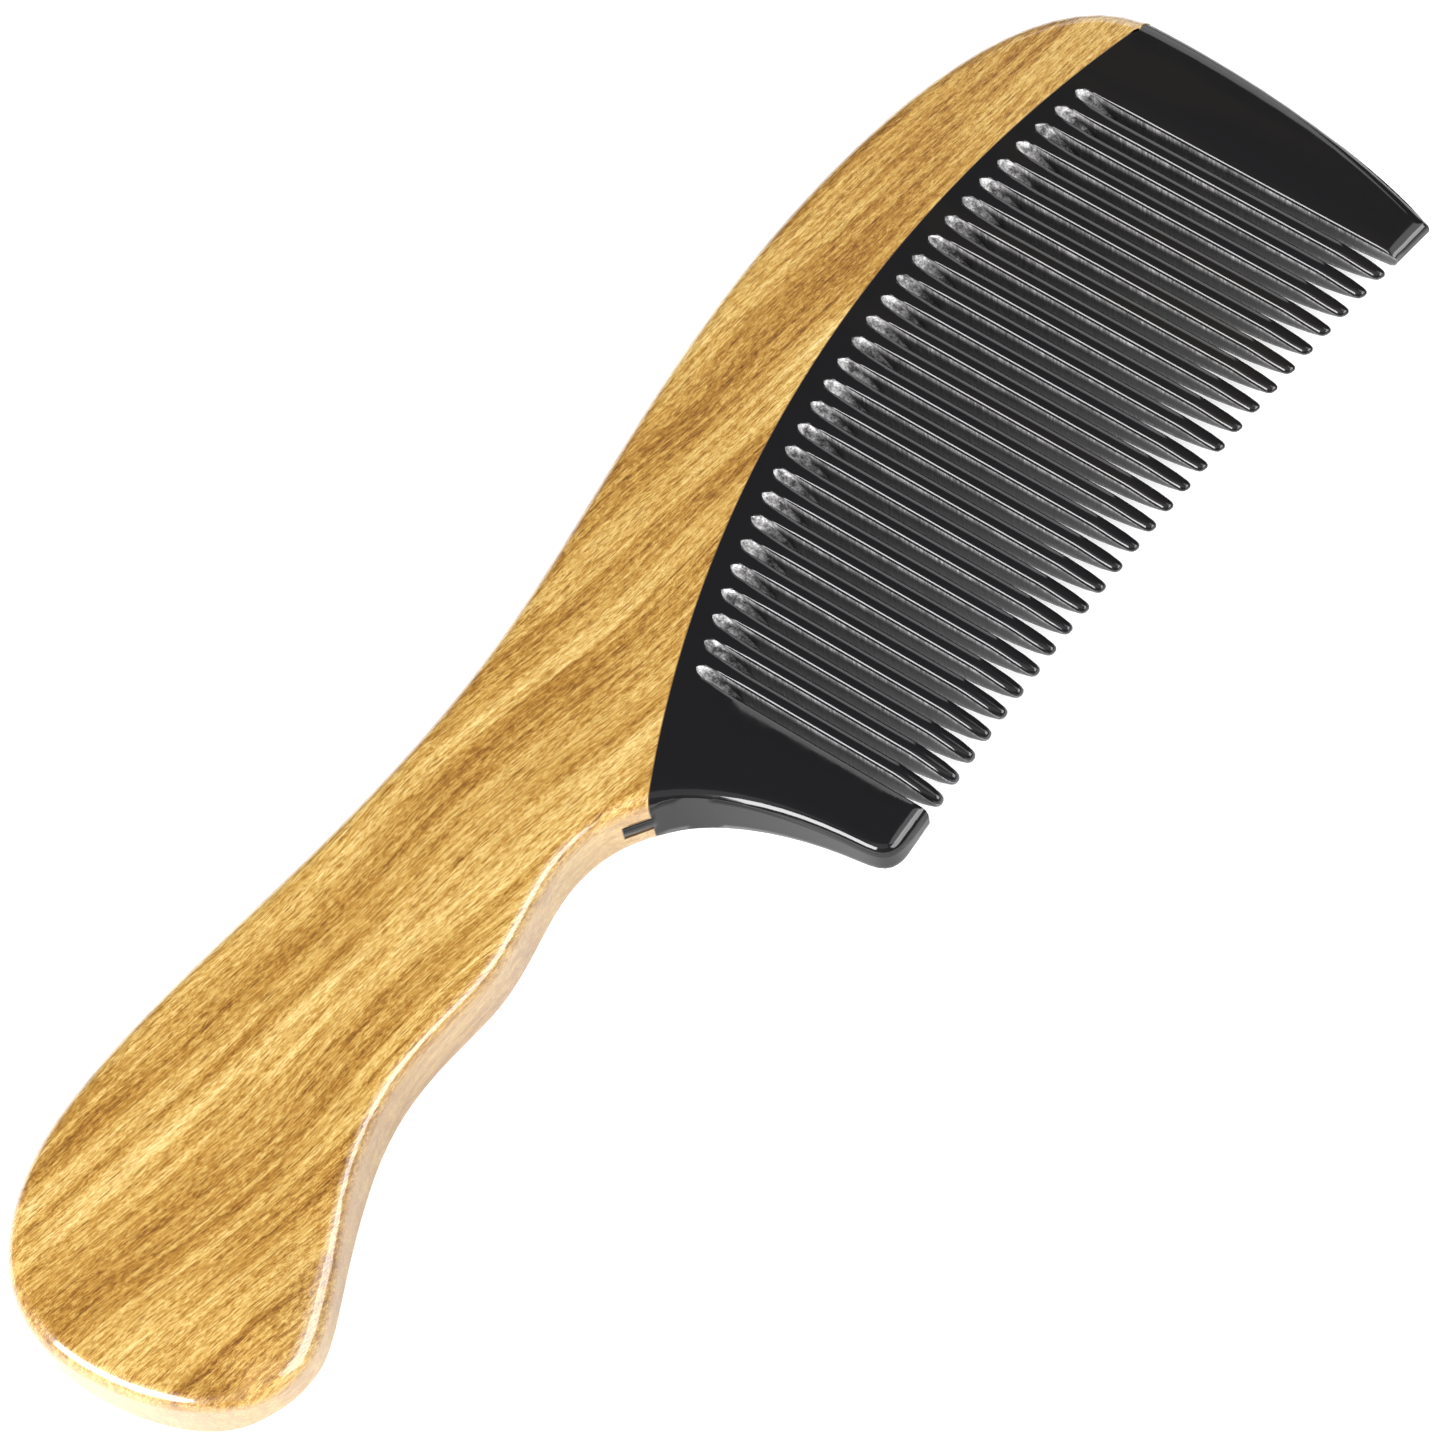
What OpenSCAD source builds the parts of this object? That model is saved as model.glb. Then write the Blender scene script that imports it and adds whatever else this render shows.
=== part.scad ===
// Handled hair comb: a wooden handle and spine, with a toothed horn blade let into it.
// It lies flat on its back: +X runs to the head, +Y to the spine, +Z out of the front face.

/* [Body] */
// Overall length, from the butt of the handle to the head
comb_l = 194.4; // [170:0.2:240]
// Thickness of the handle and spine
body_t = 9.8; // [8:0.1:13]
// Radius that rounds the long edges of the wood
edge_r = 2; // [1:0.1:3]

/* [Spine] */
// Height of the middle of the head end above the centre line
head_y = 4.1; // [3:0.1:6]
// Distance from the head end to the highest point over the teeth
crest_in = 55.8; // [50:0.1:66]
// Height of the spine over the teeth
crest_y = 27.9; // [25:0.1:33]
// Distance from the head end to the waist of the spine
waist_in = 103.7; // [95:0.1:110]
// Height of the spine at the waist
waist_y = 25.4; // [22:0.1:30]

/* [Handle] */
// Distance from the butt end to the top of its bulb
bulb_in = 22.5; // [18:0.1:27]
// Height of the top of the bulb
bulb_y = 34.1; // [30:0.1:38]
// Height of the middle of the butt end
butt_y = 15.7; // [12:0.1:19]
// Distance from the butt end to the lowest point of the bulb
belly_in = 13.9; // [11:0.1:17]
// Height of the lowest point of the bulb
belly_y = -4.3; // [-8:0.1:-1]
// Distance from the butt end to the hollow in front of the bulb
hollow_in = 43.8; // [37:0.1:53]
// Height of that hollow
hollow_y = 4.9; // [2:0.1:8]
// Distance from the shoulder of the prong back to the swell of the grip
swell_in = 12.6; // [10:0.1:16]
// Height of the swell
swell_y = 3.1; // [0:0.1:6]
// Height of the shoulder behind the prong
shoulder_y = 4.2; // [1:0.1:7]
// Distance from the shoulder to the outer side of the prong
shoulder_in = 19.3; // [16:0.1:25]

/* [Teeth] */
// Number of saw gaps
gap_n = 28; // [20:1:32]
// Distance from one gap to the next
pitch = 3.05; // [2.5:0.01:3.7]
// Width of a gap
gap_w = 1.45; // [1.1:0.01:1.8]
// Width of the head guard, from the head end to the first gap
guard_w = 11.6; // [9:0.1:14]
// Width of the prong that guards the teeth at the handle side
prong_w = 7.6; // [6:0.1:9]
// Depth of the prong tip below the centre line
tip_y = 25.5; // [22:0.1:30]
// Radius of the line of tips, which drops towards the head
tip_r = 510; // [400:10:700]
// Width left on the end of a tooth
tooth_end_w = 0.7; // [0.4:0.05:1]
// Length over which a tooth narrows to its end
tooth_point_l = 7; // [5:0.1:9]
// Distance that the head guard leans in from the head end at its tip
guard_lean = 6; // [4.5:0.1:8]

/* [Joint] */
// Radius of the curved joint between horn and wood
seam_r = 140; // [120:1:175]
// Distance from the head end to the highest point of the joint
seam_in = 49.7; // [44:0.1:58]
// Height of the highest point of the joint
seam_y = 14; // [12:0.1:16]
// Thickness of the tongue on the horn
tongue_t = 2.6; // [2:0.1:3.2]
// Depth of the tongue
tongue_d = 3; // [2:0.1:4]
// Thickness of the glue film all round the tongue
glue_t = 0.1; // [0.05:0.01:0.15]
// Angle at which each face of the blade thins from the joint
taper = 5; // [4:0.1:5.5]
// Distance from the joint to the top of the gaps on each face
root_in = 2; // [1.5:0.1:3.5]
// Length of the ramp that each gap leaves from a face to mid-thickness
root_ramp = 5; // [3:0.1:7]

/* [Hidden] */

head_x = comb_l / 2;
butt_x = -comb_l / 2;
gap_x = head_x - guard_w;
prong_x = gap_x - (gap_n - 1) * pitch - gap_w - prong_w;
shoulder_x = prong_x - shoulder_in;
seam_c = [head_x - seam_in, seam_y - seam_r];

// A knot is [x, y, heading, curve reach before it, curve reach after it].
head = [head_x, head_y, 90, 16.8, 19.7];
crest = [head_x - crest_in, crest_y, 180, 18.1, 19.7];
waist = [head_x - waist_in, waist_y, 180, 16.1, 26.8];
bulb = [butt_x + bulb_in, bulb_y, 180, 19, 9.4];
butt = [butt_x, butt_y, 270, 14.4, 9.9];
belly = [butt_x + belly_in, belly_y, 0, 9.8, 6.3];
hollow = [butt_x + hollow_in, hollow_y, 0, 12.7, 6.3];
swell = [shoulder_x - swell_in, swell_y, 0, 4.4, 4.8];
shoulder = [shoulder_x, shoulder_y, 0, 4, 11.4];
prong = [prong_x, -tip_y + 5, 275, 14.7, 3.2];
prong_end = [prong_x + 4.7, -tip_line(prong_x + 4.7), 0, 4.4, 0];
guard_end = [head_x - guard_lean, -tip_line(head_x - guard_lean), 70, 0, 8.9];

// Depth of the line of tips below the centre line
function tip_line(x) = tip_y + pow(x - prong_x, 2) / (2 * tip_r);
function ahead(k, reach) = [k[0] + reach * cos(k[2]), k[1] + reach * sin(k[2])];
function cubic(a, b, c, d, t) =
    pow(1 - t, 3) * a + 3 * pow(1 - t, 2) * t * b + 3 * (1 - t) * t * t * c + pow(t, 3) * d;
// The curve from knot a towards knot b in n steps, up to the share "to" and without its last point
function run(a, b, n, from = 0, to = 1) = [
    for (i = [0 : n - 1])
        cubic([a[0], a[1]], ahead(a, a[4]), ahead(b, -b[3]), [b[0], b[1]], from + (to - from) * i / n)
];

// Places where the blank for the wood leaves the outline, inside the horn
blank_from = 0.3;
blank_to = 0.5;
steps = 12;
wood_head = run(guard_end, head, 3, 1 - blank_from);
wood_top = concat(run(head, crest, 12), run(crest, waist, 9), run(waist, bulb, 12), run(bulb, butt, 10));
wood_low = concat(run(butt, belly, 10), run(belly, hollow, 9), run(hollow, swell, 5), run(swell, shoulder, 4));
wood_prong = run(shoulder, prong, 4, 0, blank_to);
line_a = run(shoulder, prong, 1, blank_to)[0];
line_b = wood_head[0];
line_n = len(wood_head) + len(wood_top) - len(wood_low) - len(wood_prong);
wood_line = [for (i = [0 : line_n]) line_a + (line_b - line_a) * i / (line_n + 1)];
blank = concat(wood_head, wood_top, wood_low, wood_prong, wood_line);

tip_x = [for (i = [0 : 24]) prong_end[0] + (guard_end[0] - prong_end[0]) * i / 24];
outline = concat(
    run(head, crest, steps), run(crest, waist, steps), run(waist, bulb, steps), run(bulb, butt, steps),
    run(butt, belly, steps), run(belly, hollow, steps), run(hollow, swell, steps),
    run(swell, shoulder, steps), run(shoulder, prong, 2 * steps), run(prong, prong_end, 6),
    [for (x = tip_x) [x, -tip_line(x)]], run(guard_end, head, steps, 0.001)
);
low_y = min([for (p = outline) p[1]]);
high_y = max([for (p = outline) p[1]]);
back_right = [for (p = outline) p[0]];
middle = [(max(back_right) + min(back_right)) / 2, (high_y + low_y) / 2];

// Puts the comb on its back, centred over the origin.
module placed() {
    translate([-middle[0], -middle[1], body_t / 2]) children();
}

module about_seam() {
    translate(seam_c) children();
}

module plan() {
    linear_extrude(height = body_t + 2, center = true) polygon(outline);
}

// Inward direction at point i of a closed loop that runs anticlockwise
function inward(loop, i) =
    let (n = len(loop), d = loop[(i + 1) % n] - loop[(i + n - 1) % n])
    [-d[1], d[0]] / norm(d);

// A flat slab over a loop of 2m + 1 points, with edges rounded to r
module rounded_slab(loop, t, r) {
    round_n = 4;
    n = len(loop);
    m = (n - 1) / 2;
    in = [for (i = [0 : n - 1]) inward(loop, i)];
    low = [for (k = [0 : round_n]) [r * (1 - sin(90 * k / round_n)), -t / 2 + r * (1 - cos(90 * k / round_n))]];
    high = [for (k = [round_n : -1 : 0]) [low[k][0], -low[k][1]]];
    rings = concat(low, high);
    points = [
        for (ring = rings)
            for (i = [0 : n - 1])
                let (p = loop[i] + in[i] * ring[0]) [p[0], p[1], ring[1]]
    ];
    top = (len(rings) - 1) * n;
    sides = [
        for (k = [0 : len(rings) - 2])
            for (i = [0 : n - 1])
                let (j = (i + 1) % n) [k * n + i, (k + 1) * n + i, (k + 1) * n + j, k * n + j]
    ];
    below = [for (j = [0 : m - 2]) [j, j + 1, n - 2 - j, n - 1 - j]];
    above = [for (q = below) [for (i = [3 : -1 : 0]) q[i] + top]];
    ends = [[m - 1, m, m + 1], [top + m + 1, top + m, top + m - 1]];
    polyhedron(points = points, faces = concat(sides, below, above, ends), convexity = 6);
}

// Room in the wood for the tongue and the glue round it
module groove() {
    cylinder(r = seam_r + glue_t + tongue_d, h = tongue_t + 2 * glue_t, center = true, $fn = 200);
}

// Horn section about the joint's centre: faces that thin from the joint, and the tongue
module horn_ring() {
    thin_t = 0.8;
    thin_r = seam_r - (body_t - thin_t) / 2 / tan(taper);
    rotate_extrude($fn = 200)
        polygon([
            [thin_r, -thin_t / 2], [seam_r, -body_t / 2], [seam_r, -tongue_t / 2],
            [seam_r + tongue_d, -tongue_t / 2], [seam_r + tongue_d, tongue_t / 2],
            [seam_r, tongue_t / 2], [seam_r, body_t / 2], [thin_r, thin_t / 2]
        ]);
}

// Height of the top of a gap on the faces, below the joint at x
function root_y(x) = seam_c[1] + sqrt(pow(seam_r - root_in, 2) - pow(x - seam_c[0], 2));

// One saw gap with its right side at x: a slot that ramps out at the faces and flares at the tips
module gap(x) {
    mid = x - gap_w / 2;
    root = root_y(mid);
    tip = -tip_line(mid);
    flare = (pitch - gap_w - tooth_end_w) / 2;
    flare_n = 5;
    translate([x - gap_w, 0, 0]) rotate([90, 0, 90]) linear_extrude(height = gap_w)
        polygon([
            [tip - 4, -body_t], [root, -body_t], [root, -body_t / 2], [root - root_ramp, 0],
            [root, body_t / 2], [root, body_t], [tip - 4, body_t]
        ]);
    side = [
        for (i = [0 : flare_n])
            [gap_w / 2 + flare * pow(i / flare_n, 2), tip + tooth_point_l * (1 - i / flare_n)]
    ];
    linear_extrude(height = body_t + 2, center = true)
        polygon(concat(
            [for (p = side) [mid + p[0], p[1]]], [[mid + side[flare_n][0], tip - 2]],
            [[mid - side[flare_n][0], tip - 2]], [for (i = [flare_n : -1 : 0]) [mid - side[i][0], side[i][1]]]
        ));
}

// Handle and spine in one piece of wood, grooved along the joint
module wood_handle() {
    color("goldenrod") placed() difference() {
        rounded_slab(blank, body_t, edge_r);
        about_seam() cylinder(r = seam_r + glue_t, h = body_t + 2, center = true, $fn = 200);
        about_seam() groove();
    }
}

// Toothed plate of horn with its two guards and its tongue
module horn_blade() {
    color("black") placed() difference() {
        intersection() {
            plan();
            about_seam() horn_ring();
        }
        for (k = [0 : gap_n - 1]) gap(gap_x - k * pitch);
    }
}

// Glue between the horn and the wood, round the tongue
module glue_film() {
    color("saddlebrown") placed() intersection() {
        plan();
        about_seam() difference() {
            union() {
                cylinder(r = seam_r + glue_t, h = body_t, center = true, $fn = 200);
                groove();
            }
            cylinder(r = seam_r, h = body_t + 2, center = true, $fn = 200);
            cylinder(r = seam_r + tongue_d, h = tongue_t, center = true, $fn = 200);
        }
    }
}

wood_handle();
horn_blade();
glue_film();
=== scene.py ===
from math import atan2, cos, hypot, pi, radians, sin, sqrt, tan

import bmesh
import bpy
import numpy as np
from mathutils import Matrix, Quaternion, Vector


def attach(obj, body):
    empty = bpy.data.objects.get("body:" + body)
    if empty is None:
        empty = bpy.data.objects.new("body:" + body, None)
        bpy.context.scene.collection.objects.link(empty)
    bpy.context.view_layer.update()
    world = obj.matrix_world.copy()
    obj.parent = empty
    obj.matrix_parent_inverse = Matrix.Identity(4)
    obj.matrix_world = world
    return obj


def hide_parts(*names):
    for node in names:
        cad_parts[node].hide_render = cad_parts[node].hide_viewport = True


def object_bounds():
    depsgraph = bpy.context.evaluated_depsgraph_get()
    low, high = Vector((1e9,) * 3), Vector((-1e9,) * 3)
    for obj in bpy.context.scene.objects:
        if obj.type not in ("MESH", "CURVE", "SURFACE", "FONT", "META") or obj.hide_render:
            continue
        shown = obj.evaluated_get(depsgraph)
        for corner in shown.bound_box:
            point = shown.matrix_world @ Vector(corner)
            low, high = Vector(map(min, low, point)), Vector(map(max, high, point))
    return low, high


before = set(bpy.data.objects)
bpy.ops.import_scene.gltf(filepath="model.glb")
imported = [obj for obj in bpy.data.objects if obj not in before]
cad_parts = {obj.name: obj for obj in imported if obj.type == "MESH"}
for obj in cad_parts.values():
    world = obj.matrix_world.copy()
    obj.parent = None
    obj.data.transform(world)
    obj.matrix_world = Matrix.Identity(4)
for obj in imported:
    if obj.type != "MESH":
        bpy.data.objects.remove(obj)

cadLow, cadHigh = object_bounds()
mm = 0.001

# The comb's own drawing, in millimetres about its middle: +x to the head, +y to the spine.
comb = {"length": 194.4, "thickness": 9.8, "spineTop": 34.1, "edgeRadius": 2.0}
joint = {
    "radius": 140.0, "inFromHead": 49.7, "top": 14.0,
    "glue": 0.1, "tongueDepth": 3.0, "tongueThick": 2.6,
}
teeth = {
    "gaps": 28, "pitch": 3.05, "gapWidth": 1.45, "guardWidth": 11.6, "prongWidth": 7.6,
    "tipDepth": 25.5, "tipRadius": 510.0, "guardLean": 6.0, "taper": 5.0, "rootIn": 2.0,
}
halfThick = comb["thickness"] / 2
headX = comb["length"] / 2
buttX = -headX
gapX = headX - teeth["guardWidth"]
gapCount, pitch = teeth["gaps"], teeth["pitch"]
halfGap, halfTooth = teeth["gapWidth"] / 2, (pitch - teeth["gapWidth"]) / 2
prongInner = gapX - (gapCount - 1) * pitch - teeth["gapWidth"]
prongX = prongInner - teeth["prongWidth"]
shoulderX = prongX - 19.3
jointX, jointY = headX - joint["inFromHead"], joint["top"] - joint["radius"]


def tipLine(x):
    return -teeth["tipDepth"] - (x - prongX) ** 2 / (2 * teeth["tipRadius"])


# Knots of the outline: x, y, heading in degrees, reach of the curve before and after.
knots = {
    "guardEnd": (headX - teeth["guardLean"], tipLine(headX - teeth["guardLean"]), 70, 0, 8.9),
    "head": (headX, 4.1, 90, 16.8, 19.7),
    "crest": (headX - 55.8, 27.9, 180, 18.1, 19.7),
    "waist": (headX - 103.7, 25.4, 180, 16.1, 26.8),
    "bulb": (buttX + 22.5, comb["spineTop"], 180, 19, 9.4),
    "butt": (buttX, 15.7, 270, 14.4, 9.9),
    "belly": (buttX + 13.9, -4.3, 0, 9.8, 6.3),
    "hollow": (buttX + 43.8, 4.9, 0, 12.7, 6.3),
    "swell": (shoulderX - 12.6, 3.1, 0, 4.4, 4.8),
    "shoulder": (shoulderX, 4.2, 0, 4, 11.4),
    "prong": (prongX, 5 - teeth["tipDepth"], 275, 14.7, 3.2),
    "prongEnd": (prongX + 4.7, tipLine(prongX + 4.7), 0, 4.4, 0),
}
shiftX = cadHigh.x / mm - headX
shiftY = cadHigh.y / mm - comb["spineTop"]
middleZ = (cadLow.z + cadHigh.z) / 2 / mm


def toFrame(x, y, z):
    return Vector((x + shiftX, y + shiftY, z + middleZ)) * mm


def toDrawing(vert):
    return vert.co.x / mm - shiftX, vert.co.y / mm - shiftY, vert.co.z / mm - middleZ


def outlineRun(names, steps):
    points = []
    for first, last in zip(names, names[1:]):
        ax, ay, aHeading, _, aReach = knots[first]
        bx, by, bHeading, bReach, _ = knots[last]
        a, d = np.array((ax, ay)), np.array((bx, by))
        b = a + aReach * np.array((cos(radians(aHeading)), sin(radians(aHeading))))
        c = d - bReach * np.array((cos(radians(bHeading)), sin(radians(bHeading))))
        for t in np.arange(steps) / steps:
            points.append((1 - t) ** 3 * a + 3 * (1 - t) ** 2 * t * b + 3 * (1 - t) * t * t * c + t ** 3 * d)
    points.append(d)
    return np.array(points)


outline = outlineRun(list(knots), 40)


def jointDepth(x, y):
    return joint["radius"] - hypot(x - jointX, y - jointY)  # grows from the joint towards the tips


def jointLine(x, inset=0.0):
    return jointY + sqrt((joint["radius"] - inset) ** 2 - (x - jointX) ** 2)


def crossing(radius, side):
    # where an arc about the joint's centre leaves the outline
    away = np.hypot(outline[:, 0] - jointX, outline[:, 1] - jointY) - radius
    turns = np.nonzero(away[:-1] * away[1:] < 0)[0]
    i = turns[0] if side == "head" else turns[-1]
    share = away[i] / (away[i] - away[i + 1])
    return outline[i] + share * (outline[i + 1] - outline[i]), i


def edgeDistance(x, y, line=outline):
    # nearest distance from a point to a line of short steps
    a, step = line[:-1], np.diff(line, axis=0)
    along = ((x - a[:, 0]) * step[:, 0] + (y - a[:, 1]) * step[:, 1]) / (step ** 2).sum(1)
    along = along.clip(0, 1)
    return np.hypot(a[:, 0] + along * step[:, 0] - x, a[:, 1] + along * step[:, 1] - y).min()


def rounding(distance, radius):
    # how far a face has dropped at a distance from an edge of this radius
    if distance >= radius:
        return 0.0
    return radius - sqrt(max(0.0, radius ** 2 - (radius - distance) ** 2))


def arcEnds(radius):
    ends = [crossing(radius, side)[0] for side in ("prong", "head")]
    return [atan2(y - jointY, x - jointX) for x, y in ends]


def onArc(radius, share, inset=0.0):
    # a point of an arc about the joint's centre, between the places where it meets the outline
    start, end = arcEnds(radius)
    angle = start + share * (end - start) - inset / radius
    return jointX + radius * cos(angle), jointY + radius * sin(angle)


def smooth(value, low, high):
    share = min(1.0, max(0.0, (value - low) / (high - low)))
    return share * share * (3 - 2 * share)


def newVerts(made):
    return [item for item in made["geom"] if isinstance(item, bmesh.types.BMVert)]


def cutAcross(bm, geom, place, direction, nearest=1e-6):
    bmesh.ops.bisect_plane(bm, geom=geom, dist=nearest, plane_co=place, plane_no=direction)


def everything(bm):
    return list(bm.verts) + list(bm.edges) + list(bm.faces)


def finishPiece(name, bm, materials, node, sharpAngle=35):
    mesh = bpy.data.meshes.new(name)
    for face in bm.faces:
        face.smooth = True
    for edge in bm.edges:
        if len(edge.link_faces) == 2 and edge.calc_face_angle(0) > radians(sharpAngle):
            edge.smooth = False
    bm.to_mesh(mesh)
    bm.free()
    for material in materials:
        mesh.materials.append(material)
    piece = bpy.data.objects.new(name, mesh)
    bpy.context.scene.collection.objects.link(piece)
    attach(piece, "root")
    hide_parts(node)
    print(name, len(mesh.polygons), "faces")
    return piece


def startMaterial(name):
    material = bpy.data.materials.new(name)
    material.use_nodes = True
    nodes, links = material.node_tree.nodes, material.node_tree.links
    nodes.clear()
    shader = nodes.new("ShaderNodeBsdfPrincipled")
    output = nodes.new("ShaderNodeOutputMaterial")
    links.new(shader.outputs["BSDF"], output.inputs["Surface"])
    return material, nodes, links, shader


inMillimetres = (1000, 1000, 1000)  # turns a pattern's metres into millimetres


class Painter:
    # short ways to add the nodes that every finish here is made of

    def __init__(self, nodes, links):
        self.nodes, self.links = nodes, links
        self.where = nodes.new("ShaderNodeTexCoord").outputs["Object"]

    def put(self, socket, value):
        if isinstance(value, bpy.types.NodeSocket):
            self.links.new(value, socket)
        else:
            socket.default_value = value

    def mapped(self, scale, turn=0.0, source=None):
        node = self.nodes.new("ShaderNodeMapping")
        self.links.new(source or self.where, node.inputs["Vector"])
        node.inputs["Rotation"].default_value = (0, 0, radians(turn))
        node.inputs["Scale"].default_value = scale
        return node.outputs["Vector"]

    def noise(self, vector, scale=1.0, detail=2.0, rough=0.5, warp=0.0):
        node = self.nodes.new("ShaderNodeTexNoise")
        self.links.new(vector, node.inputs["Vector"])
        node.inputs["Scale"].default_value = scale
        node.inputs["Detail"].default_value = detail
        node.inputs["Roughness"].default_value = rough
        node.inputs["Distortion"].default_value = warp
        return node.outputs["Fac"]

    def sums(self, kind, a, b=0.5):
        node = self.nodes.new("ShaderNodeMath")
        node.operation = kind
        self.put(node.inputs[0], a)
        self.put(node.inputs[1], b)
        return node.outputs["Value"]

    def spread(self, value, low, high, toLow=0.0, toHigh=1.0):
        node = self.nodes.new("ShaderNodeMapRange")
        node.interpolation_type = "SMOOTHSTEP"
        self.put(node.inputs["Value"], value)
        node.inputs["From Min"].default_value = low
        node.inputs["From Max"].default_value = high
        node.inputs["To Min"].default_value = toLow
        node.inputs["To Max"].default_value = toHigh
        return node.outputs["Result"]

    def ramp(self, value, stops):
        node = self.nodes.new("ShaderNodeValToRGB")
        self.put(node.inputs["Fac"], value)
        items = node.color_ramp.elements
        while len(items) < len(stops):
            items.new(0.5)
        for item, (place, colour) in zip(items, stops):
            item.position = place
            item.color = (*colour, 1)
        return node.outputs["Color"]

    def mix(self, kind, share, a, b):
        node = self.nodes.new("ShaderNodeMix")
        node.data_type = "RGBA"
        node.blend_type = kind
        self.put(node.inputs[0], share)
        for socket, value in ((node.inputs[6], a), (node.inputs[7], b)):
            self.put(socket, value if isinstance(value, bpy.types.NodeSocket) else (*value, 1))
        return node.outputs[2]

    def blend(self, parts):
        # adds up patterns, each spread between two of its levels and given its share
        total = 0.0
        for value, low, high, share in parts:
            total = self.sums("ADD", total, self.sums("MULTIPLY", self.spread(value, low, high), share))
        return total

    def uprightness(self):
        # 1 on the flat faces, 0 on the walls
        facing = self.nodes.new("ShaderNodeSeparateXYZ")
        normal = self.nodes.new("ShaderNodeNewGeometry").outputs["True Normal"]
        self.links.new(normal, facing.inputs["Vector"])
        return self.sums("ABSOLUTE", facing.outputs["Z"])

    def bump(self, height, strength, distance):
        node = self.nodes.new("ShaderNodeBump")
        self.links.new(height, node.inputs["Height"])
        node.inputs["Strength"].default_value = strength
        node.inputs["Distance"].default_value = distance
        return node.outputs["Normal"]


sandalwood = {
    "grainTurn": 12.0,  # degrees that the fibres fall towards the head
    "dark": (0.100, 0.036, 0.004), "brown": (0.235, 0.111, 0.015),
    "gold": (0.385, 0.250, 0.068), "pale": (0.56, 0.43, 0.190), "poreShade": (0.50, 0.38, 0.24),
    "ribbonShare": 0.17, "bandShare": 0.18, "lineShare": 0.24, "fleckShare": 0.40,
    # side: a flat tone mixed into the walls, a painted sheen standing in for their pale reflection
    "side": (0.27, 0.168, 0.070), "wallSheenShare": 0.5,
    "roughness": 0.36, "lacquer": 1.0, "sideLacquer": 0.3, "lacquerRoughness": 0.09,
}


def makeSandalwood():
    look = sandalwood
    material, nodes, links, shader = startMaterial("sandalwood")
    paint = Painter(nodes, links)
    # coordinates in millimetres along and across the fibres, gently bent
    alongGrain = paint.mapped(inMillimetres, look["grainTurn"])
    bendNoise = nodes.new("ShaderNodeTexNoise")
    links.new(alongGrain, bendNoise.inputs["Vector"])
    bendNoise.inputs["Scale"].default_value = 0.02
    bendNoise.inputs["Detail"].default_value = 1.0
    bendScale = nodes.new("ShaderNodeVectorMath")
    bendScale.operation = "MULTIPLY_ADD"
    links.new(bendNoise.outputs["Color"], bendScale.inputs[0])
    bendScale.inputs[1].default_value = (0, 9, 3)
    links.new(alongGrain, bendScale.inputs[2])
    grain = bendScale.outputs["Vector"]
    ribbons = paint.noise(paint.mapped((0.008, 0.17, 0.08), source=grain), 1.0, 2.0, 0.5)
    bands = paint.noise(paint.mapped((0.014, 0.50, 0.25), source=grain), 1.0, 3.0, 0.6)
    lines = paint.noise(paint.mapped((0.06, 1.9, 1.0), source=grain), 1.0, 3.0, 0.65)
    # short crinkled fibres, which lie steeper in some ribbons than in others
    shallow = paint.noise(paint.mapped((0.95, 4.6, 4.0), turn=4, source=grain), 1.0, 5.0, 0.8, 0.6)
    steep = paint.noise(paint.mapped((0.95, 4.6, 4.0), turn=24, source=grain), 1.0, 5.0, 0.8, 0.6)
    ribbonSide = paint.spread(ribbons, 0.44, 0.56)
    otherSide = paint.sums("SUBTRACT", 1.0, ribbonSide)
    flecks = paint.sums(
        "ADD", paint.sums("MULTIPLY", steep, ribbonSide), paint.sums("MULTIPLY", shallow, otherSide),
    )
    tone = paint.blend([
        (ribbons, 0.34, 0.66, look["ribbonShare"]), (bands, 0.34, 0.66, look["bandShare"]),
        (lines, 0.3, 0.7, look["lineShare"]), (flecks, 0.37, 0.63, look["fleckShare"]),
    ])
    colour = paint.ramp(tone, [
        (0.12, look["dark"]), (0.37, look["brown"]), (0.63, look["gold"]), (0.95, look["pale"]),
    ])
    # thin dark strokes where the pores are cut along
    pores = paint.noise(paint.mapped((0.30, 6.5, 5.0), turn=7, source=grain), 1.0, 2.0, 0.6, 0.2)
    colour = paint.mix("MULTIPLY", paint.spread(pores, 0.56, 0.68), colour, look["poreShade"])
    # the walls are mixed towards one flat tone, a painted sheen that stands in for the pale reflection the
    # walls show; they are also less glossy than the faces
    upright = paint.uprightness()
    side = paint.spread(upright, 0.15, 0.9, look["wallSheenShare"], 0.0)
    colour = paint.mix("MIX", side, colour, look["side"])
    links.new(colour, shader.inputs["Base Color"])
    links.new(paint.bump(flecks, 0.15, 0.00015), shader.inputs["Normal"])
    shader.inputs["Roughness"].default_value = look["roughness"]
    coat = paint.spread(upright, 0.15, 0.6, look["sideLacquer"], look["lacquer"])
    links.new(coat, shader.inputs["Coat Weight"])
    shader.inputs["Coat Roughness"].default_value = look["lacquerRoughness"]
    return material


horn = {
    "black": (0.0062, 0.0060, 0.0066), "brown": (0.0085, 0.0076, 0.0068), "roughness": 0.09,
    "wallGloss": 0.1, "faceGloss": 0.4,
    # deep: the dark colour of that painted shade, deep in the gaps
    "sawnGrey": (0.135, 0.131, 0.134), "deep": (0.018, 0.0175, 0.018), "sawnRoughness": 0.38,
    "groundGrey": (0.34, 0.335, 0.335), "groundRoughness": 0.55,
}


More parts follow.
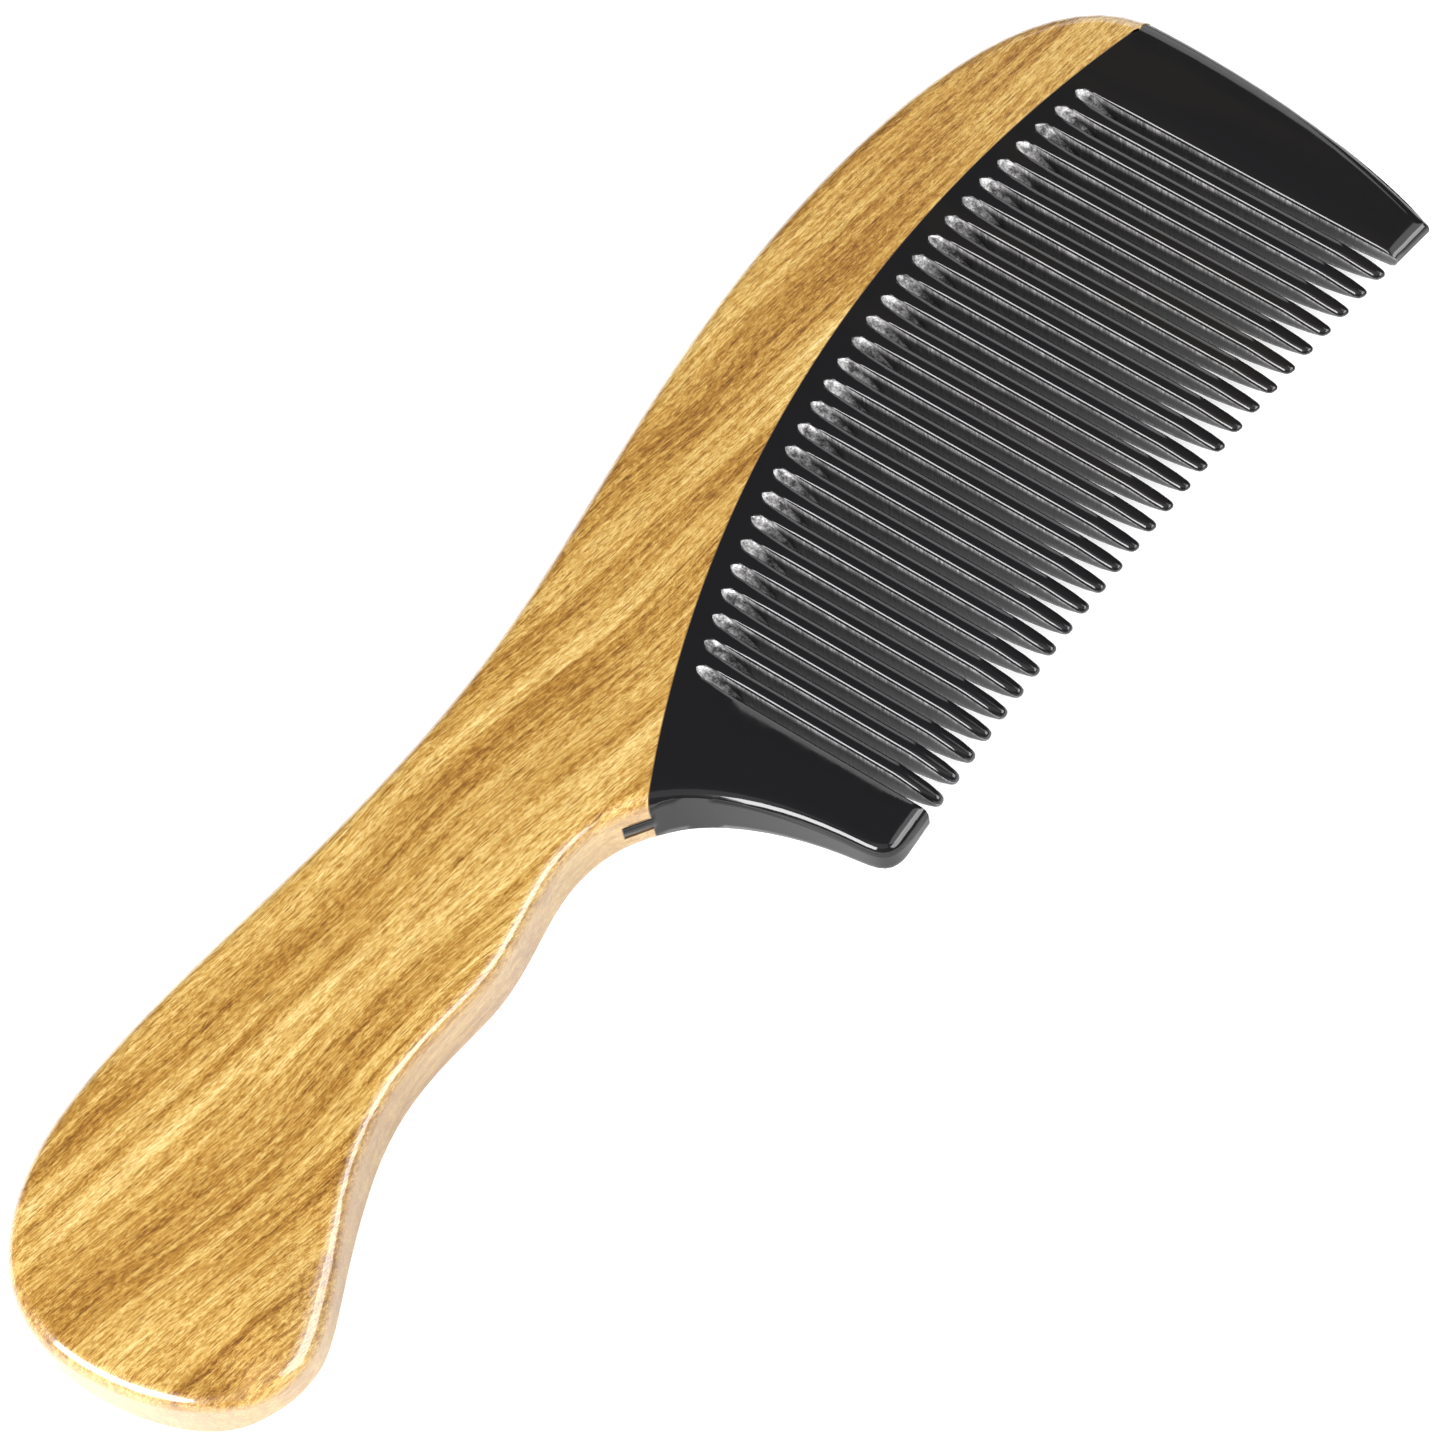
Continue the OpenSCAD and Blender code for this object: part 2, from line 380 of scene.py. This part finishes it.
def makePolishedHorn():
    material, nodes, links, shader = startMaterial("polishedHorn")
    paint = Painter(nodes, links)
    cloud = paint.noise(paint.mapped(inMillimetres), 0.035, 3.0, 0.55, 0.6)
    streak = paint.noise(paint.mapped((180, 22, 120)), 1.0, 2.0, 0.5)
    both = paint.sums("MULTIPLY", paint.spread(cloud, 0.42, 0.66), paint.spread(streak, 0.35, 0.72))
    towardsHead = nodes.new("ShaderNodeSeparateXYZ")
    links.new(paint.where, towardsHead.inputs["Vector"])
    both = paint.sums("MULTIPLY", both, paint.spread(towardsHead.outputs["X"], 0.02, 0.07))
    links.new(paint.mix("MIX", both, horn["black"], horn["brown"]), shader.inputs["Base Color"])
    wear = paint.noise(paint.mapped(inMillimetres), 0.5, 3.0, 0.6)
    links.new(paint.spread(wear, 0.2, 0.8, horn["roughness"] - 0.03, horn["roughness"] + 0.05),
              shader.inputs["Roughness"])
    links.new(paint.bump(wear, 0.03, 0.0001), shader.inputs["Normal"])
    # the walls are duller than the faces
    gloss = paint.spread(paint.uprightness(), 0.1, 0.45, horn["wallGloss"], horn["faceGloss"])
    links.new(gloss, shader.inputs["Specular IOR Level"])
    shader.inputs["IOR"].default_value = 1.5
    return material


def makeSawnHorn():
    material, nodes, links, shader = startMaterial("sawnHorn")
    paint = Painter(nodes, links)
    marks = paint.noise(paint.mapped((300, 3600, 260)), 1.0, 2.0, 0.6, 0.3)
    blotch = paint.noise(paint.mapped(inMillimetres), 0.25, 3.0, 0.6)
    shade = paint.sums("ADD", paint.sums("MULTIPLY", marks, 0.6), paint.sums("MULTIPLY", blotch, 0.4))
    grey = horn["sawnGrey"]
    sawnMarkTone = paint.ramp(shade, [
        (0.32, tuple(c * 0.25 for c in grey)), (0.50, grey), (0.68, tuple(c * 2.6 for c in grey)),
    ])
    # painted shade: the walls darken towards the middle of the blade, deep in the gaps where little light
    # reaches, and are paler towards the faces
    rise = nodes.new("ShaderNodeAttribute")
    rise.attribute_name = "rise"
    reach = paint.spread(rise.outputs["Fac"], 0.3, 1.0)
    links.new(paint.mix("MIX", reach, horn["deep"], sawnMarkTone), shader.inputs["Base Color"])
    links.new(paint.bump(marks, 0.5, 0.00012), shader.inputs["Normal"])
    shader.inputs["Roughness"].default_value = horn["sawnRoughness"]
    return material


def makeGroundHorn():
    material, nodes, links, shader = startMaterial("groundHorn")
    paint = Painter(nodes, links)
    grit = paint.noise(paint.mapped(inMillimetres), 3.8, 3.0, 0.75)
    patch = paint.noise(paint.mapped(inMillimetres), 0.9, 2.0, 0.5)
    shade = paint.sums("ADD", paint.sums("MULTIPLY", grit, 0.5), paint.sums("MULTIPLY", patch, 0.5))
    grey = horn["groundGrey"]
    links.new(paint.ramp(shade, [
        (0.40, tuple(c * 0.12 for c in grey)), (0.50, tuple(c * 0.8 for c in grey)),
        (0.62, tuple(c * 2.0 for c in grey)),
    ]), shader.inputs["Base Color"])
    links.new(paint.bump(grit, 0.7, 0.0002), shader.inputs["Normal"])
    shader.inputs["Roughness"].default_value = horn["groundRoughness"]
    return material


setGlue = {"dark": (0.05, 0.026, 0.012), "light": (0.11, 0.06, 0.028), "roughness": 0.3}


def makeSetGlue():
    material, nodes, links, shader = startMaterial("setGlue")
    paint = Painter(nodes, links)
    mottle = paint.noise(paint.mapped(inMillimetres), 1.2, 2.0, 0.5)
    links.new(paint.mix("MIX", mottle, setGlue["dark"], setGlue["light"]), shader.inputs["Base Color"])
    shader.inputs["Roughness"].default_value = setGlue["roughness"]
    return material


handle = {
    "bevelSegments": 7, "jointSteps": 72, "cutStep": 1.2,
    "crownEnd": 40.0, "crownTop": 12.5,  # the crowned part: its length from the butt, and its upper limit
    "domeReach": 8.0, "domeShare": 0.42,  # how far in from the edge the belly is crowned, and how much
    "grooveSteps": 90, "grooveOverrun": 0.05,
}


def handleOutline(glueRadius):
    headCorner, first = crossing(glueRadius, "head")
    prongCorner, last = crossing(glueRadius, "prong")
    edge = [tuple(headCorner)] + [tuple(p) for p in outline[first + 1:last + 1:2]] + [tuple(prongCorner)]
    start = atan2(prongCorner[1] - jointY, prongCorner[0] - jointX)
    end = atan2(headCorner[1] - jointY, headCorner[0] - jointX)
    for i in range(1, handle["jointSteps"]):
        angle = start + (end - start) * i / handle["jointSteps"]
        edge.append((jointX + glueRadius * cos(angle), jointY + glueRadius * sin(angle)))
    return edge


def crownBelly(bm):
    # a grid over the bulb, then its lower edge is eased down
    step, reach = handle["cutStep"], handle["domeReach"]
    endX, topY = buttX + handle["crownEnd"], handle["crownTop"]
    cuts = [(buttX + step * (i + 1), None) for i in range(33)]
    cuts += [(None, step * i - 3.4) for i in range(14)]
    for x, y in cuts:
        part = [
            f for f in bm.faces
            if (min(v.co.x for v in f.verts) < (endX + shiftX) * mm
                and min(v.co.y for v in f.verts) < (topY + shiftY) * mm)
        ]
        geom = list({v for f in part for v in f.verts}) + list({e for f in part for e in f.edges}) + part
        cutAcross(bm, geom, toFrame(x or 0, y or 0, 0), (1, 0, 0) if y is None else (0, 1, 0), 1e-7)
    for vert in bm.verts:
        x, y, z = toDrawing(vert)
        away = edgeDistance(x, y)
        if away < reach:
            along = smooth(x, buttX + 3, buttX + 9) * (1 - smooth(x, buttX + 20, buttX + 34))
            drop = handle["domeShare"] * along * (1 - smooth(y, 2, 9)) * (1 - away / reach) ** 2
            vert.co.z = (middleZ + z * (1 - drop)) * mm


def grooveCutter():
    # a bent bar as long as the joint, a little larger than the tongue
    inner = joint["radius"] - 1
    outer = joint["radius"] + joint["tongueDepth"] + joint["glue"]
    thick = joint["tongueThick"] / 2 + joint["glue"]
    start, end = arcEnds(joint["radius"])
    spare = handle["grooveOverrun"]
    bar = bmesh.new()
    bmesh.ops.create_grid(bar, x_segments=handle["grooveSteps"], y_segments=1, size=1)
    made = bmesh.ops.extrude_face_region(bar, geom=list(bar.faces))
    bmesh.ops.translate(bar, verts=newVerts(made), vec=(0, 0, 1))
    for vert in bar.verts:
        angle = start + spare + (end - start - 2 * spare) * (vert.co.x + 1) / 2
        radius = inner if vert.co.y < 0 else outer
        z = thick if vert.co.z > 0.5 else -thick
        vert.co = toFrame(jointX + radius * cos(angle), jointY + radius * sin(angle), z)
    bmesh.ops.recalc_face_normals(bar, faces=bar.faces)
    mesh = bpy.data.meshes.new("grooveBar")
    bar.to_mesh(mesh)
    bar.free()
    cutter = bpy.data.objects.new("grooveBar", mesh)
    bpy.context.scene.collection.objects.link(cutter)
    return cutter


def makeWoodHandle(material):
    glueRadius = joint["radius"] + joint["glue"]
    bm = bmesh.new()
    corners = [bm.verts.new(toFrame(x, y, -halfThick)) for x, y in handleOutline(glueRadius)]
    face = bm.faces.new(corners)
    made = bmesh.ops.extrude_face_region(bm, geom=[face])
    bmesh.ops.translate(bm, verts=newVerts(made), vec=(0, 0, comb["thickness"] * mm))
    bmesh.ops.recalc_face_normals(bm, faces=bm.faces)

    def onJoint(vert):
        x, y, z = toDrawing(vert)
        return abs(hypot(x - jointX, y - jointY) - glueRadius) < 0.002

    rims = [
        edge for edge in bm.edges
        if abs(edge.verts[0].co.z - edge.verts[1].co.z) < 1e-7 and not all(onJoint(v) for v in edge.verts)
    ]
    bmesh.ops.bevel(
        bm, geom=rims, offset=comb["edgeRadius"] * mm, offset_type="OFFSET",
        segments=handle["bevelSegments"], profile=0.5, affect="EDGES", material=-1, clamp_overlap=False,
    )
    crownBelly(bm)
    piece = finishPiece("woodHandle", bm, [material], "wood_handle")
    cutter = grooveCutter()
    cut = piece.modifiers.new("groove", "BOOLEAN")
    cut.operation = "DIFFERENCE"
    cut.solver = "EXACT"
    cut.object = cutter
    carved = bpy.data.meshes.new_from_object(piece.evaluated_get(bpy.context.evaluated_depsgraph_get()))
    piece.modifiers.clear()
    piece.data = carved
    bpy.data.objects.remove(cutter)
    flat = piece.modifiers.new("flatFaces", "WEIGHTED_NORMAL")
    flat.keep_sharp = True
    return piece


blade = {
    # rows across the teeth: distances above the tips, and above the roots of the gaps
    "tipRows": [8.0, 6.5, 5.5, 4.6, 3.8, 3.1, 2.5, 2.0, 1.5, 1.1, 0.75, 0.48, 0.26, 0.1, 0.0],
    "lipRows": [0.30, 0.13, 0.04],
    "pointLength": 5.5, "pointShare": 0.38, "endHalfWidth": 0.72, "flareLength": 3.0,
    "endRound": 0.75, "endShare": 0.45, "roundLength": 2.0, "roundShare": 0.8,
    "rootDrop": 1.5, "rootRamp": 4.0, "headRootRise": 0.6, "rootLength": 6.5,
    "edgeRound": 0.48, "archRound": 0.12, "outerLevel": 0.7,
    "edgeColumns": [0.03, 0.16, 0.48], "gapColumns": [-1, -0.93, -0.75, -0.4, 0, 0.4, 0.75, 0.93, 1],
    "rimRows": [0.0, 0.1, 0.38, 0.8, 1.35, 2.0], "rimAtJoint": 2.0, "rimAtTip": 1.3,
    "prongRoll": 1.9, "headRoll": 2.4, "rollShare": 0.3, "guardFlare": 0.35,
}


def bladeColumns():
    # from the prong's outer side to the head guard's: kind, number or distance in, share
    rim, across = blade["rimRows"], blade["edgeColumns"]
    columns = [("prong", d, 0) for d in rim] + [("prong", rim[-1], s) for s in (0.3, 0.6)]
    columns += [("prong", -d, 0) for d in reversed(across)]
    for k in range(gapCount - 1, -1, -1):
        columns += [("gap", k, s) for s in blade["gapColumns"]]
        if k > 0:
            columns += [("tooth", k, d - halfTooth) for d in across] + [("tooth", k, 0.0)]
            columns += [("tooth", k, halfTooth - d) for d in reversed(across)]
    columns += [("guard", -d, 0) for d in across] + [("guard", rim[-1], s) for s in (0.6, 0.3)]
    return columns + [("guard", d, 0) for d in reversed(rim)]


def bladeRows():
    # from the joint to the tips: kind, share or distance
    rows = [("band", s) for s in (0.0, 0.4, 0.8)] + [("lip", d) for d in blade["lipRows"]]
    rows += [("root", s) for s in (0.0, 0.2, 0.4, 0.6, 0.8, 1.0)]
    rows += [("shaft", s) for s in (0.15, 0.3, 0.45, 0.6, 0.75, 0.9)]
    return rows + [("tip", d) for d in blade["tipRows"]]


columns, rows = bladeColumns(), bladeRows()
rootRow = rows.index(("root", 0.0))
tongueLevel = joint["tongueThick"] / 2 / halfThick
archSpots = np.linspace(-1, 1, 41)


def rootLine(x):
    return jointLine(x, teeth["rootIn"] - blade["headRootRise"] * smooth(x, 40, gapX))


def rootTop(x, fromGap):
    # top of the gaps' arches on the faces, at a distance in half gaps from the middle of one
    share = min(1.0, fromGap)
    drop = blade["rootDrop"] * (1 - sqrt(1 - 0.96 * share * share)) ** 0.8
    if fromGap > 1:
        drop *= max(0.0, 1 - (fromGap - 1) * halfGap / halfTooth) ** 1.6
    return rootLine(x) - drop


def archDistance(x, y, middle):
    arch = np.array([(middle + s * halfGap, rootTop(middle, abs(s))) for s in archSpots])
    arch = np.vstack([[arch[0][0], arch[0][1] - 9], arch, [arch[-1][0], arch[-1][1] - 9]])
    return edgeDistance(x, y, arch)


def edgeRounding(x, y):
    # the edges are crisp round the arches and softer along the teeth
    deep = rootLine(x) - blade["rootDrop"] - y
    return blade["archRound"] + (blade["edgeRound"] - blade["archRound"]) * smooth(deep, 0, 4)


def rowY(j, x, top, lean=1.0):
    kind, value = rows[j]
    if kind == "band":
        return jointLine(x) + value * (top + blade["lipRows"][0] * lean - jointLine(x))
    if kind == "lip":
        return top + value * lean
    if kind == "tip":
        return tipLine(x) + value
    shaft = rootLine(x) - blade["rootLength"]
    if kind == "root":
        return top + value * (shaft - top)
    return shaft + value * (tipLine(x) + blade["tipRows"][0] - shaft)


def endCap(above):
    if above >= blade["endRound"]:
        return 1.0
    rise = sqrt(1 - (1 - max(0.0, above) / blade["endRound"]) ** 2)
    return blade["endShare"] + (1 - blade["endShare"]) * rise


def toothHalfWidth(above):
    full, end = halfTooth, blade["endHalfWidth"]
    if above < blade["flareLength"]:
        full = end + (full - end) * (1 - (1 - above / blade["flareLength"]) ** 2)
    return full * endCap(above)


def plateHalf(x, y):
    return halfThick - tan(radians(teeth["taper"])) * max(0.0, jointDepth(x, y))


def toothHalf(x, y):
    half = plateHalf(x, y)
    above = max(0.0, y - tipLine(x))
    if above < blade["pointLength"]:
        half *= 1 - (1 - blade["pointShare"]) * (1 - above / blade["pointLength"]) ** 1.3
    return half * endCap(above)


def guardHalf(x, y, side, toGap):
    # the guards keep their thickness and are rolled at the end and at the outer side
    half = plateHalf(x, y)
    depth = max(0.0, jointDepth(x, y))
    radius = blade["rimAtJoint"] + (blade["rimAtTip"] - blade["rimAtJoint"]) * min(1.0, depth / 25)
    roll = blade["headRoll"] if side > 0 else blade["prongRoll"]
    past = 1 - min(1.0, max(0.0, y - tipLine(x)) / roll)
    return half - max(
        rounding(edgeDistance(x, y), min(radius, 0.8 * half)),
        rounding(toGap, min(edgeRounding(x, y), 0.5 * half)),
        (1 - blade["rollShare"]) * half * (1 - sqrt(1 - past ** 2)),
    )


def guardSide(side):
    # the outer edge of a guard from the joint to its end, with the length run at each point
    radius = joint["radius"]
    if side > 0:
        corner, index = crossing(radius, "head")
        edge = np.vstack([outline[:index + 1], [corner]])[::-1]
    else:
        corner, index = crossing(radius, "prong")
        edge = np.vstack([[corner], outline[index + 1:]])
    return edge, np.concatenate([[0], np.cumsum(np.hypot(*np.diff(edge, axis=0).T))])


guardSides = {side: guardSide(side) for side in (-1, 1)}


def toothSpot(i, j, level):
    # a point of the gaps and the teeth
    kind, number, share = columns[i]
    middle = gapX - number * pitch - halfGap
    if kind == "gap":
        x = middle + share * halfGap
        top = rootTop(middle, abs(share))
        if j >= rootRow:
            top -= blade["rootRamp"] * (1 - abs(level) ** 1.3)
        y = rowY(j, x, top, min(3.0, 1 / sqrt(1.04 - share * share)))
        width = toothHalfWidth(y - tipLine(x))
        onGuard = (number, share) in ((0, 1), (gapCount - 1, -1))
        if abs(share) == 1 and j >= rootRow:
            x += share * (halfTooth - width) * (blade["guardFlare"] if onGuard else 1)
        if onGuard:
            toGap = 0.0 if j >= rootRow else archDistance(x, y, middle)
            return x, y, level * guardHalf(x, y, share, toGap)
    else:
        gapMiddle = middle + (0 if share <= 0 else pitch)
        middle += pitch / 2
        x = middle + share
        beside = 1 - (abs(x - gapMiddle) - halfGap) / halfTooth
        y = rowY(j, x, rootTop(x, abs(x - gapMiddle) / halfGap), 1 + 2 * beside)
        width = toothHalfWidth(y - tipLine(x))
        side = (halfTooth - abs(share)) * min(1.0, width / halfTooth)
        x = middle + (width - side if share > 0 else side - width) if share else middle
    half = toothHalf(x, y)
    edgeRound = min(edgeRounding(x, y), 0.62 * width, 0.8 * half)
    if kind == "gap" and j >= rootRow:
        half -= edgeRound
    elif j < rootRow or rows[j][0] == "root":
        nearest = gapX - round((gapX - halfGap - x) / pitch) * pitch - halfGap
        nearest = min(max(nearest, prongInner + halfGap), gapX - halfGap)
        half -= rounding(archDistance(x, y, nearest), edgeRound)
    else:
        half -= rounding(width - abs(x - middle), edgeRound)
    return x, y, level * half


def guardSpot(i, j, level):
    # a point of the prong or the head guard
    kind, value, share = columns[i]
    side, inner = (-1, prongInner) if kind == "prong" else (1, gapX)
    edge, lengths = guardSides[side]
    top = rootTop(inner, 1 - value / halfGap) if value < 0 else rootLine(inner)
    yIn = rowY(j, inner, top)
    topIn, endIn = jointLine(inner), tipLine(inner)
    innerSide = inner + side * blade["guardFlare"] * (halfTooth - toothHalfWidth(yIn - endIn))
    if value < 0:
        x, y = innerSide - side * value, yIn
    else:
        down = (topIn - yIn) / (topIn - endIn)
        outer = np.array([np.interp(down * lengths[-1], lengths, edge[:, k]) for k in (0, 1)])
        across = np.array((innerSide + side * blade["edgeColumns"][-1], yIn)) - outer
        low, high = 0.0, 0.7
        for _ in range(16):  # looks for the point that lies so far in from the outer side
            t = (low + high) / 2
            near = edgeDistance(*(outer + t * across), edge) < value
            low, high = (t, high) if near else (low, t)
        t = low if value > 0 else 0.0
        t += share * (1 - t)
        x, y = outer + t * across
        y += (1 - down) ** 3 * (jointLine(x) - (edge[0][1] + t * (topIn - edge[0][1])))
        y += down ** 3 * (tipLine(x) - (edge[-1][1] + t * (endIn - edge[-1][1])))
    toGap = abs(x - innerSide) if j > rootRow + 1 else archDistance(x, y, inner - side * halfGap)
    return x, y, level * guardHalf(x, y, side, toGap)


def filePoints(bm):
    # the points of the teeth are filed round
    for vert in bm.verts:
        x, y, z = toDrawing(vert)
        above = y - tipLine(x)
        if above > blade["roundLength"] or not prongInner + 0.3 < x < gapX - 0.3:
            continue
        number = round((gapX + halfTooth - x) / pitch)
        middle = gapX + halfTooth - number * pitch
        wide, thick = toothHalfWidth(above), toothHalf(x, y)
        u, v = (x - middle) / wide, z / thick
        if abs(u) > 1.02 or not 1 <= number < gapCount:
            continue
        amount = blade["roundShare"] * (1 - smooth(above, 0.2, blade["roundLength"]))
        u, v = min(1.0, max(-1.0, u)), min(1.0, max(-1.0, v))
        x = middle + wide * u * (1 - amount + amount * sqrt(1 - v * v / 2))
        z = thick * v * (1 - amount + amount * sqrt(1 - u * u / 2))
        vert.co = toFrame(x, y, z)


def makeHornBlade(materials):
    lastColumn, lastRow = len(columns) - 1, len(rows) - 1
    bm = bmesh.new()
    rise = bm.verts.layers.float.new("rise")
    bmesh.ops.create_grid(bm, x_segments=lastColumn, y_segments=lastRow, size=1)

    def cell(x, y):
        return (x + 1) / 2 * lastColumn, (1 - y) / 2 * lastRow

    gone = []
    for face in bm.faces:
        middle = face.calc_center_median()
        i, j = cell(middle.x, middle.y)
        if columns[int(i)][0] == "gap" and columns[int(i) + 1][0] == "gap" and j > rootRow:
            gone.append(face)
    bmesh.ops.delete(bm, geom=gone, context="FACES")
    made = bmesh.ops.extrude_face_region(bm, geom=list(bm.faces))
    lifted = newVerts(made)
    bmesh.ops.translate(bm, verts=list(bm.verts), vec=(0, 0, -1))
    bmesh.ops.translate(bm, verts=lifted, vec=(0, 0, 2))
    for level in (-blade["outerLevel"], -tongueLevel, 0, tongueLevel, blade["outerLevel"]):
        cutAcross(bm, everything(bm), (0, 0, level), (0, 0, 1))
    bmesh.ops.recalc_face_normals(bm, faces=bm.faces)
    address = {}
    for vert in bm.verts:
        i, j = cell(vert.co.x, vert.co.y)
        address[vert] = (round(i), round(j), vert.co.z)
    # faces that the saw left, and the ramps ground at the roots
    for face in bm.faces:
        spots = [address[v] for v in face.verts]
        sides = {i for i, j, z in spots}
        if len(sides) == 1 and columns[sides.pop()][0] == "gap":
            face.material_index = 1
        elif {j for i, j, z in spots} == {rootRow} and abs(face.normal.y) > 0.9:
            face.material_index = 2
    tongueFaces = [
        f for f in bm.faces
        if all(address[v][1] == 0 and abs(address[v][2]) < tongueLevel + 1e-4 for v in f.verts)
    ]
    for vert, (i, j, level) in address.items():
        spot = toothSpot if columns[i][0] in ("gap", "tooth") else guardSpot
        vert.co = toFrame(*spot(i, j, level))
        vert[rise] = abs(level)

    # the tongue along the joint
    made = bmesh.ops.extrude_face_region(bm, geom=tongueFaces)
    bmesh.ops.delete(bm, geom=tongueFaces, context="FACES")
    start, end = arcEnds(joint["radius"])
    for vert in newVerts(made):
        x, y, z = toDrawing(vert)
        share = (atan2(y - jointY, x - jointX) - start) / (end - start)
        vert.co = toFrame(*onArc(joint["radius"] + joint["tongueDepth"], share), z)
    filePoints(bm)
    bmesh.ops.recalc_face_normals(bm, faces=bm.faces)
    return finishPiece("hornBlade", bm, materials, "horn_blade", 40)


glueLine = {"steps": 90, "insets": [0, 0.1, 0.38, 0.8, 1.35, 2.0]}  # insets: steps in from the outline


def makeGlueLine(material):
    inner, film = joint["radius"], joint["glue"]
    outer, tongue = inner + film, inner + joint["tongueDepth"]
    edge, slim = halfThick, joint["tongueThick"] / 2
    # the section: a thin wall between horn and wood that folds round the tongue
    section = [
        (inner, edge), (outer, edge), (outer, slim + film), (tongue + film, slim + film),
        (tongue + film, -slim - film), (outer, -slim - film), (outer, -edge), (inner, -edge),
        (inner, -slim), (tongue, -slim), (tongue, slim), (inner, slim),
    ]
    insets, steps = glueLine["insets"], glueLine["steps"]
    stops = [(0.0, d) for d in insets] + [(i / steps, 0.0) for i in range(4, steps - 3)]
    stops += [(1.0, -d) for d in reversed(insets)]
    count, span = len(section), len(stops) - 1
    bm = bmesh.new()
    bmesh.ops.create_cone(bm, cap_ends=True, segments=count, radius1=1, radius2=1, depth=span)
    for number in range(1, span):
        cutAcross(bm, everything(bm), (0, 0, number - span / 2), (0, 0, 1), 1e-5)
    for vert in bm.verts:
        radius, z = section[round(atan2(vert.co.y, vert.co.x) / (2 * pi) * count) % count]
        share, inset = stops[round(vert.co.z + span / 2)]
        x, y = onArc(radius, share, inset)
        if abs(z) == edge:
            z *= 1 - rounding(edgeDistance(x, y), comb["edgeRadius"]) / edge
        vert.co = toFrame(x, y, z)
    bmesh.ops.recalc_face_normals(bm, faces=bm.faces)
    return finishPiece("glueLine", bm, [material], "glue_film")


print("making the handle, the blade and the glue line")
makeWoodHandle(makeSandalwood())
makeHornBlade([makePolishedHorn(), makeSawnHorn(), makeGroundHorn()])
makeGlueLine(makeSetGlue())

studio = {
    "floorSize": 4.0, "floorColour": (0.66, 0.66, 0.66), "floorGlow": 0.50,
    "worldColour": (1.0, 1.0, 1.0), "worldStrength": 0.07,
    "lit": (0, 0, 0.005),  # where every softbox points
    "cameraDirection": (0.311124, 0.322094, -0.894124), "cameraDistance": 578.7,
    "cameraRoll": 13.97, "lens": 133.2,
}


def makeFloor():
    bm = bmesh.new()
    bmesh.ops.create_grid(bm, x_segments=1, y_segments=1, size=studio["floorSize"] / 2)
    mesh = bpy.data.meshes.new("floor")
    bm.to_mesh(mesh)
    bm.free()
    material, nodes, links, shader = startMaterial("paleFloor")
    shader.inputs["Base Color"].default_value = (*studio["floorColour"], 1)
    shader.inputs["Roughness"].default_value = 0.9
    shader.inputs["Emission Color"].default_value = (1, 1, 1, 1)
    shader.inputs["Emission Strength"].default_value = studio["floorGlow"]
    shader.inputs["Specular IOR Level"].default_value = 0.1
    mesh.materials.append(material)
    floor = bpy.data.objects.new("floor", mesh)
    bpy.context.scene.collection.objects.link(floor)


def softbox(name, place, size, power):
    data = bpy.data.lights.new(name, "AREA")
    data.shape = "RECTANGLE"
    data.size, data.size_y = size
    data.energy = power
    lamp = bpy.data.objects.new(name, data)
    lamp.location = place
    lamp.rotation_mode = "QUATERNION"
    lamp.rotation_quaternion = (Vector(studio["lit"]) - Vector(place)).to_track_quat("-Z", "Y")
    bpy.context.scene.collection.objects.link(lamp)


def makeCamera():
    data = bpy.data.cameras.new("camera")
    data.sensor_width = 36
    data.lens = studio["lens"]
    data.clip_start, data.clip_end = 0.01, 20
    camera = bpy.data.objects.new("camera", data)
    forward = Vector(studio["cameraDirection"])
    camera.location = toFrame(0, 0, 0) - forward * studio["cameraDistance"] * mm
    camera.rotation_mode = "QUATERNION"
    level = forward.to_track_quat("-Z", "Y")
    camera.rotation_quaternion = level @ Quaternion((0, 0, -1), radians(studio["cameraRoll"]))
    bpy.context.scene.collection.objects.link(camera)
    bpy.context.scene.camera = camera


print("setting up the floor, the lights and the camera")
scene = bpy.context.scene
scene.view_settings.view_transform = "Standard"
world = bpy.data.worlds.new("studio")
scene.world = world
world.use_nodes = True
background = world.node_tree.nodes["Background"]
background.inputs["Color"].default_value = (*studio["worldColour"], 1)
background.inputs["Strength"].default_value = studio["worldStrength"]
makeFloor()
for name, place, size, power in (
    ("topBox", (-0.45, -0.42, 1.0), (0.8, 0.8), 1.5),
    ("frontTop", (0.37, -0.60, 0.85), (0.5, 0.5), 2),
    ("teethSide", (0.25, -0.85, 0.55), (0.9, 0.45), 12),
    ("handleSide", (-0.88, 0.12, 0.60), (0.9, 0.52), 35),
    ("headSide", (0.95, 0.35, 0.55), (0.6, 0.9), 4.5),
):
    softbox(name, place, size, power)
makeCamera()
